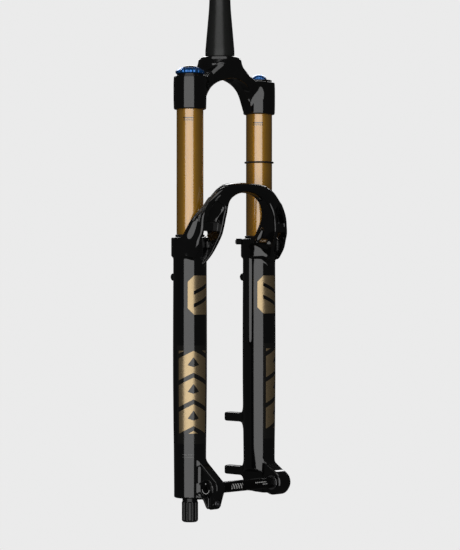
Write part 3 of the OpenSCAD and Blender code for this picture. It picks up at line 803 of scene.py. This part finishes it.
LENGTHWISE = (1, 1, 0.1)
materials = {
    "casting_black": casting_material(),
    "gold_tube": tube_material(),
    "axle": axle_material(),
    "crown_black": finish_material(
        "crown_gloss_black", (0.0035,) * 3, (0.0065,) * 3, (0.06, 0.11), ior=1.95, grain=260,
        relief_depth=0.0004),
    "steerer_black": finish_material(
        "steerer_satin", (0.030, 0.031, 0.030), (0.042, 0.043, 0.041), (0.26, 0.36), metallic=0.3, ior=1.7,
        grain=900, stretch=(1, 1, 0.2)),
    "blue_anodised": finish_material(
        "blue_anodised", (0.014, 0.19, 0.70), (0.035, 0.29, 0.88), (0.20, 0.30), metallic=0.8, grain=900,
        coat=1.0),
    "black_anodised": finish_material(
        "black_anodised", (0.024,) * 3, (0.036,) * 3, (0.16, 0.26), metallic=0.6, ior=1.9, grain=900),
    "bushing": finish_material(
        "bushing", (0.06, 0.06, 0.055), (0.10, 0.10, 0.09), (0.4, 0.6), metallic=0.4, grain=1200),
    "red_anodised": metal(
        "red_anodised", (0.40, 0.012, 0.008), (0.52, 0.02, 0.012), (0.18, 0.28), grain=900),
    "bare_aluminium": metal(
        "bare_aluminium", (0.56, 0.57, 0.58), (0.68, 0.68, 0.69), (0.22, 0.36), stretch=LENGTHWISE),
    "polished_steel": metal(
        "polished_steel", (0.55, 0.56, 0.58), (0.63, 0.64, 0.65), (0.06, 0.12), grain=500,
        stretch=LENGTHWISE),
    "steel": metal("steel", (0.30, 0.30, 0.31), (0.42, 0.42, 0.43), (0.24, 0.38), grain=800),
    "brass": metal("brass", (0.60, 0.42, 0.14), (0.72, 0.52, 0.20), (0.18, 0.32)),
    "copper_washer": metal("copper", (0.62, 0.26, 0.14), (0.74, 0.34, 0.20), (0.22, 0.4)),
    "black_rubber": finish_material(
        "black_rubber", (0.012,) * 3, (0.020,) * 3, (0.46, 0.62), grain=500, relief=0.15),
    "black_plastic": finish_material(
        "black_plastic", (0.006,) * 3, (0.011,) * 3, (0.30, 0.46), ior=1.2, grain=900, relief=0.12),
    "foam": finish_material(
        "green_foam", (0.03, 0.12, 0.05), (0.07, 0.22, 0.10), (0.8, 0.95), grain=1400, relief=0.6,
        relief_depth=0.0004),
    "spacer_plastic": finish_material(
        "orange_plastic", (0.62, 0.16, 0.02), (0.74, 0.22, 0.03), (0.32, 0.46), grain=500),
    "bumper": finish_material(
        "red_elastomer", (0.42, 0.03, 0.02), (0.55, 0.05, 0.03), (0.42, 0.58), grain=400),
}


def wear(thing, slot):
    """Gives an object the finish of one of the record's material slots."""
    thing.data.materials.clear()
    thing.data.materials.append(materials[slot])


# ---- turned pieces ----

def fillet(profile, radii, parts=4):
    """A closed profile's corners rounded: radii gives each corner's radius, 0 for a sharp one."""
    out = []
    count = len(profile)
    for i, point in enumerate(profile):
        radius = radii[i]
        if not radius:
            out.append(point)
            continue
        p, a, b = (np.array(q, float) for q in (point, profile[i - 1], profile[(i + 1) % count]))
        to_a, to_b = (a - p) / np.linalg.norm(a - p), (b - p) / np.linalg.norm(b - p)
        half = math.acos(max(-1.0, min(1.0, float(to_a @ to_b)))) / 2
        reach = radius / math.tan(half)
        middle = (to_a + to_b) / np.linalg.norm(to_a + to_b)
        centre = p + middle * radius / math.sin(half)
        start, end = p + to_a * reach - centre, p + to_b * reach - centre
        for k in range(parts + 1):
            mixed = start + (end - start) * k / parts
            out.append(tuple(centre + mixed / np.linalg.norm(mixed) * radius))
    return out


def turned(name, profile, place, body, node, slot, radii=0, parts=96, wave=None, turn=None):
    """A piece turned about Z from a closed (radius, height) profile, in place of a CAD node.

    It is then turned by a matrix and moved to place. wave(angle, radius, height) is taken off the radius.
    """
    if not hasattr(radii, "__len__"):
        radii = [radii if r > 0.01 else 0 for r, _ in profile]
    outline = fillet(profile, radii)
    verts, faces = [], []
    for i in range(parts):
        angle = 2 * math.pi * i / parts
        for r, h in outline:
            r = max(0.0, r - wave(angle, r, h)) if wave else r
            verts.append((r * math.cos(angle), r * math.sin(angle), h))
    n = len(outline)
    for i in range(parts):
        j = (i + 1) % parts
        for k in range(n):
            m = (k + 1) % n
            faces.append((i * n + k, j * n + k, j * n + m, i * n + m))
    mesh = bpy.data.meshes.new(name)
    mesh.from_pydata([Vector(v) * MM for v in verts], [], faces)
    edit = bmesh.new()
    edit.from_mesh(mesh)
    bmesh.ops.remove_doubles(edit, verts=edit.verts, dist=1e-6)
    bmesh.ops.dissolve_degenerate(edit, edges=edit.edges, dist=1e-7)
    bmesh.ops.recalc_face_normals(edit, faces=edit.faces)
    edit.to_mesh(mesh)
    edit.free()
    mesh.transform(Matrix.Translation(Vector(place) * MM) @ (turn or Matrix.Identity(4)))
    mesh.shade_smooth()
    mesh.set_sharp_from_angle(angle=math.radians(38))
    thing = bpy.data.objects.new(name, mesh)
    bpy.context.scene.collection.objects.link(thing)
    weighted = thing.modifiers.new("even_shading", "WEIGHTED_NORMAL")
    weighted.keep_sharp = True
    materials_for(thing, slot)
    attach(thing, body)
    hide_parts(node)
    return thing


def materials_for(thing, slot):
    """Gives a new piece the finish of the named slot."""
    thing.data.materials.append(materials[slot])
    slot in {m["slot"] for m in frame["record"]["materials"]}


def dome(radius, low, high, parts=8):
    """Profile points of a shallow dome, from its rim to its top."""
    turns = np.linspace(0, math.pi / 2, parts)
    return [(radius * math.cos(t), low + (high - low) * math.sin(t)) for t in turns]


def lobes(count, depth, inner, outer, low=-1e9, high=1e9):
    """Finger flutes: what to take off the radius between two radii and two heights."""
    def wave(angle, r, h):
        if not low < h < high:
            return 0
        share = min(1, max(0, (r - inner) / (outer - inner)))
        return depth * share * max(0, math.cos(count * angle)) ** 1.5
    return wave


def socket(apothem, reach):
    """Six flats in a hole whose radius is under reach."""
    def wave(angle, r, h):
        if r > reach:
            return 0
        return r - apothem / math.cos((angle % (math.pi / 3)) - math.pi / 6) if r > 0.01 else 0
    return wave


ALONG_X = Matrix.Rotation(math.radians(90), 4, "Y")
TO_REAR = Matrix.Rotation(math.radians(-90), 4, "X")
TO_FRONT = Matrix.Rotation(math.radians(90), 4, "X")
NEAR, FAR = (-LEG_X, LEG_Y, 0), (LEG_X, LEG_Y, 0)


# ---- build ----

print("building", flush=True)
casting = solid(
    "casting_shell", casting_field,
    grid_line((-93, -37, 1.25), (-37, 37, 2.4), (37, 93, 1.25)),
    grid_line((-66, -18, 1.25), (-18, 53, 1.8)),
    grid_line((-612, -480, 1.7), (-480, -312, 7), (-312, -294, 1.7), (-294, ARCH_TOP + 4, 1.25)))
casting.data.materials.append(materials["casting_black"])
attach(casting, "lowers")
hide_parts("lower_casting")

crown = solid(
    "crown_shell", crown_field,
    grid_line((-92, 92, 1.2)), grid_line((-36, 33, 1.2)), grid_line((-79, 3, 1.1)))
crown.data.materials.append(materials["crown_black"])
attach(crown, "crown_unit")
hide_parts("crown")
print("solids:", len(casting.data.polygons) * 2, len(crown.data.polygons) * 2, flush=True)

# steerer
turned("steerer_shell", [
    (PRESSED_BORE_R, PRESSED_BOTTOM), (PRESSED_R, PRESSED_BOTTOM), (PRESSED_R, 0), (RACE_R, 0), (RACE_R, 8),
    (STEERER_R, 72), (STEERER_R, STEERER_TOP), (STEERER_BORE_R, STEERER_TOP), (STEERER_BORE_R, 70),
    (PRESSED_BORE_R, 6)],
    (0, 0, 0), "crown_unit", "steerer_tube", "steerer_black",
    radii=[0, 0.5, 0, 0.4, 60, 300, 0.6, 0.4, 40, 40], parts=128)

# both legs: upper tube, dust wiper and bleeder button
for name, place in (("damper", NEAR), ("air", FAR)):
    inner = TUBE_R - TUBE_WALL
    turned(f"upper_tube_{name}_shell", [
        (inner, TUBE_BOTTOM), (TUBE_R, TUBE_BOTTOM), (TUBE_R, TUBE_TOP), (inner, TUBE_TOP)],
        place, "crown_unit", f"upper_tube_{name}", "gold_tube", radii=0.5, parts=128)
    lip = TUBE_R + 0.1
    turned(f"wiper_{name}_shell", [
        (lip, WIPER_SEAT), (21, WIPER_SEAT), (21, COLLAR_TOP), (20.3, COLLAR_TOP + 0.4),
        (19.3, COLLAR_TOP + 1.3), (19.2, COLLAR_TOP + 1.9), (19.9, COLLAR_TOP + 2.6), (19.6, WIPER_TOP - 0.5),
        (18.8, WIPER_TOP), (lip, WIPER_TOP - 0.3)],
        place, "lowers", f"dust_wiper_{name}", "black_rubber",
        radii=[0, 0, 0.2, 0.2, 0.2, 0.2, 0.3, 0.3, 0.3, 0], parts=128)
    # the bleeder button's heights are along Y
    turned(f"bleeder_{name}_shell", [
        (0, 10.2), (3.5, 10.2), (3.5, 19.9), (5.3, 19.9), (5.3, 22.5), (3.2, 22.5), (2.6, 21.9), (0, 21.9)],
        (place[0], 0, BLEEDER_Z), f"bleeder_{name}", f"bleeder_button_{name}", "black_anodised",
        radii=[0, 0.3, 0, 0.4, 0.6, 0.2, 0.2, 0], parts=120, wave=lobes(20, 0.35, 4.6, 5.3), turn=TO_REAR)

# damper leg's top: cap, ring knob and centre knob
turned("damper_cap_shell", [
    (0, -52), (16.2, -52), (16.2, -31), (17.6, -31), (17.6, CAP_SEAT_Z - 0.2), (6, CAP_SEAT_Z - 0.2),
    (6, -24), (0, -24)],
    NEAR, "crown_unit", "damper_top_cap", "black_anodised", radii=[0, 0.4, 0, 0.3, 0.6, 0, 0.3, 0])
turned("high_speed_knob_shell", [
    (6.05, 0), (18.6, 0), (19.4, 1), (19.4, 3.6), (14, 7.6), (10.5, 8), (10.5, 4), (6.05, 4)],
    (NEAR[0], NEAR[1], CAP_SEAT_Z), "high_speed_compression", "high_speed_compression_knob", "blue_anodised",
    radii=[0, 0.3, 0.5, 0.7, 0.7, 0.3, 0, 0], parts=180, wave=lobes(18, 0.8, 15, 19))
turned("low_speed_knob_shell", [(0, 0), (10.1, 0), (10.1, 3.6)] + dome(9.7, 3.9, 6.9)[:-1] + [(0, 6.9)],
       (NEAR[0], NEAR[1], -23.7), "low_speed_compression", "low_speed_compression_knob", "black_anodised",
       radii=[0] * 11, parts=120, wave=lobes(24, 0.3, 9, 10, 0.5, 4.2))

# air leg's top: cap and valve cap
turned("air_cap_base_shell", [
    (4.7, -46), (16.2, -46), (16.2, -31), (17.6, -31), (17.6, CAP_SEAT_Z - 0.2), (4.7, CAP_SEAT_Z - 0.2)],
    FAR, "crown_unit", "air_top_cap", "black_anodised", radii=[0, 0.4, 0, 0.3, 0.6, 0.3])
turned("valve_cap_shell", [
    (0, 5), (3.95, 5), (3.95, 0), (10.2, 0), (10.5, 0.5), (10.5, 1.8), (9.2, 3.8), (7.5, 5.5), (5.4, 6.7),
    (2.8, 7.3), (0, 7.4)],
    (FAR[0], FAR[1], CAP_SEAT_Z), "valve_cap", "air_valve_cap", "blue_anodised",
    radii=[0, 0, 0, 0.2, 0.3, 0.8, 1.5, 1.5, 1.5, 2, 0], parts=144, wave=lobes(24, 0.4, 9.2, 10.4, 0.4, 2.6))

# sag ring, round in section
sag_low, sag_high = box_mm("sag_ring")
wire = (sag_high[2] - sag_low[2]) / 2
sag_r = (sag_high[0] - sag_low[0]) / 2 - wire
turned("sag_ring_shell", [
    (sag_r + wire * math.cos(t), wire * math.sin(t))
    for t in np.linspace(0, 2 * math.pi, 16, endpoint=False)],
    (FAR[0], FAR[1], (sag_low[2] + sag_high[2]) / 2), "travel_marker", "sag_ring", "black_rubber",
    radii=[0] * 16)

# cover under the damper leg
cover_h = cover_high[2] - cover_low[2]
cover_r = (cover_high[0] - cover_low[0]) / 2
turned("rebound_cover_shell", [
    (0, 0), (8.6, 0), (cover_r - 0.5, 1.4), (cover_r, 3), (cover_r, cover_h - 6.2), (10.1, cover_h - 4.8),
    (10.1, cover_h), (9.3, cover_h), (9.3, 3), (0, 3)],
    (NEAR[0], NEAR[1], cover_low[2]), "foot_cover", "rebound_cover", "black_anodised",
    radii=[0, 1.0, 0.8, 0.5, 0.6, 0.4, 0.2, 0.2, 0.4, 0], parts=192,
    wave=lobes(12, 1.0, 9.7, 10.6, 2.2, cover_h - 5.6))

# axle, its nut and the pinch bolt, whose heights are along X and then to the front
axle_end = NEAR_DROP_X
axle_shell = turned("axle_shell", [
    (3.5, axle_end + 0.4), (4.4, axle_end + 0.1), (5, axle_end), (AXLE_HEAD_R, axle_end),
    (AXLE_HEAD_R, -HUB_HALF), (AXLE_SHANK_R, -HUB_HALF), (AXLE_SHANK_R, HUB_HALF - 0.4), (7, HUB_HALF),
    (7, FAR_DROP_X - 3), (5, FAR_DROP_X - 3), (5, axle_end + 9), (3.5, axle_end + 9)],
    (0, AXLE_Y, AXLE_Z), "wheel_axle", "axle", "axle",
    radii=[0, 0, 0, 0.9, 0.4, 0, 0, 0, 0.4, 0.2, 0, 0], wave=socket(3.03, 3.6), turn=ALONG_X)
turned("axle_nut_shell", [
    (7.1, HUB_HALF), (NUT_BORE_R, HUB_HALF), (NUT_BORE_R, nut_high[0]), (7.1, nut_high[0])],
    (0, AXLE_Y, AXLE_Z), "lowers", "axle_nut", "bare_aluminium", radii=0.5, turn=ALONG_X)
turned("pinch_bolt_shell", [
    (0, 42.5), (2.5, 42.5), (2.5, 55.2), (4.4, 55.2), (4.4, 59.2), (2.3, 59.2), (2.3, 56.8), (0, 56.8)],
    (PINCH[0], 0, PINCH[2]), "pinch_screw", "pinch_bolt", "steel", radii=[0, 0.4, 0, 0.2, 0.7, 0, 0, 0],
    wave=lambda angle, r, h: socket(2, 2.35)(angle, r, h) if h > 56 else 0, turn=TO_FRONT)

# rounded edges on the small pieces that stay as the CAD has them
EDGE_WIDTHS = {"hose_guide": 3.2, "hose_guide_screw": 0.3, "damper_foot_nut": 0.5, "air_foot_nut": 0.5}
for name, width in EDGE_WIDTHS.items():
    edge = nodes[name].modifiers.new("rounded_edges", "BEVEL")
    edge.width = width * MM
    edge.segments = 3
    edge.limit_method = "ANGLE"
    edge.angle_limit = math.radians(35)
    edge.use_clamp_overlap = True

# the CAD nodes that stay take their slot's finish
for entry in frame["record"]["subparts"]:
    wear(nodes[entry["node"]], entry["material_slot"])

# ---- stage, light, camera ----

BACKDROP = 0.83
FLOOR_GAP, FLOOR_R, BACKDROP_R = 0.012, 9, 14
VIEW_TURN = math.radians(45.2)
OBJECT_MIDDLE = Vector((0, -0.02, -0.3))
CAMERA_DISTANCE, CAMERA_RIGHT, CAMERA_HEIGHT = 2.905, 0.0138, -0.2973
to_object = Vector((math.sin(VIEW_TURN), math.cos(VIEW_TURN), 0))
to_right = Vector((math.cos(VIEW_TURN), -math.sin(VIEW_TURN), 0))


def pale_surface(name, mesh):
    """A plain pale part of the stage, seen by the camera and left out of the gloss."""
    thing = bpy.data.objects.new(name, mesh)
    bpy.context.scene.collection.objects.link(thing)
    made, tree, shader = new_material(name)
    tree.nodes.remove(shader)
    glow = tree.nodes.new("ShaderNodeEmission")
    glow.inputs["Color"].default_value = (BACKDROP, BACKDROP, BACKDROP, 1)
    tree.links.new(glow.outputs[0], tree.nodes["Material Output"].inputs["Surface"])
    made.cycles.emission_sampling = "NONE"
    thing.data.materials.append(made)
    thing.visible_diffuse = False
    thing.visible_glossy = False
    thing.visible_transmission = False
    thing.visible_shadow = False
    return thing


def disc_mesh(name, radius, height):
    """A flat round sheet."""
    mesh = bpy.data.meshes.new(name)
    ring = [(radius * math.cos(t), radius * math.sin(t), height)
            for t in np.linspace(0, 2 * math.pi, 96, endpoint=False)]
    mesh.from_pydata(ring, [], [tuple(range(96))])
    return mesh


def dome_mesh(name, radius):
    """A ball round the whole scene."""
    mesh = bpy.data.meshes.new(name)
    edit = bmesh.new()
    bmesh.ops.create_uvsphere(edit, u_segments=48, v_segments=24, radius=radius)
    edit.to_mesh(mesh)
    edit.free()
    return mesh


pale_surface("floor", disc_mesh("floor", FLOOR_R, cover_low[2] * MM - FLOOR_GAP))
pale_surface("backdrop", dome_mesh("backdrop", BACKDROP_R))


def softbox(name, offset_right, distance, height, size, radiance):
    """A rectangular light. offset_right and distance place it as the camera sees the object's middle."""
    data = bpy.data.lights.new(name, "AREA")
    data.shape = "RECTANGLE"
    data.size, data.size_y = size
    data.energy = radiance * math.pi * size[0] * size[1]
    thing = bpy.data.objects.new(name, data)
    bpy.context.scene.collection.objects.link(thing)
    thing.location = OBJECT_MIDDLE - to_object * distance + to_right * offset_right + Vector((0, 0, height))
    thing.rotation_euler = (OBJECT_MIDDLE - thing.location).to_track_quat("-Z", "Y").to_euler()
    thing.visible_camera = False
    return thing


key = softbox("key_softbox", -0.55, 3.3, 0, (4.6, 3.6), 1.0)
# the key light faces along the view
key.rotation_euler = to_object.to_track_quat("-Z", "Y").to_euler()
softbox("top_light", -0.2, 1.2, 2.6, (2.6, 2.2), 0.7)
softbox("rear_top_light", 0, -2.9, 1.85, (2.4, 1.5), 4.0)

world = bpy.data.worlds.new("studio")
world.use_nodes = True
world.node_tree.nodes["Background"].inputs["Color"].default_value = (1, 1, 1, 1)
world.node_tree.nodes["Background"].inputs["Strength"].default_value = 0.022
bpy.context.scene.world = world
bpy.context.scene.view_settings.view_transform = "Standard"

camera_data = bpy.data.cameras.new("camera")
camera_data.lens = 139.4
camera_data.sensor_width = 36
camera_data.clip_start, camera_data.clip_end = 0.1, 40
camera = bpy.data.objects.new("camera", camera_data)
bpy.context.scene.collection.objects.link(camera)
camera.location = to_right * CAMERA_RIGHT - to_object * CAMERA_DISTANCE + Vector((0, 0, CAMERA_HEIGHT))
camera.rotation_euler = (math.radians(90), 0, -VIEW_TURN)
bpy.context.scene.camera = camera
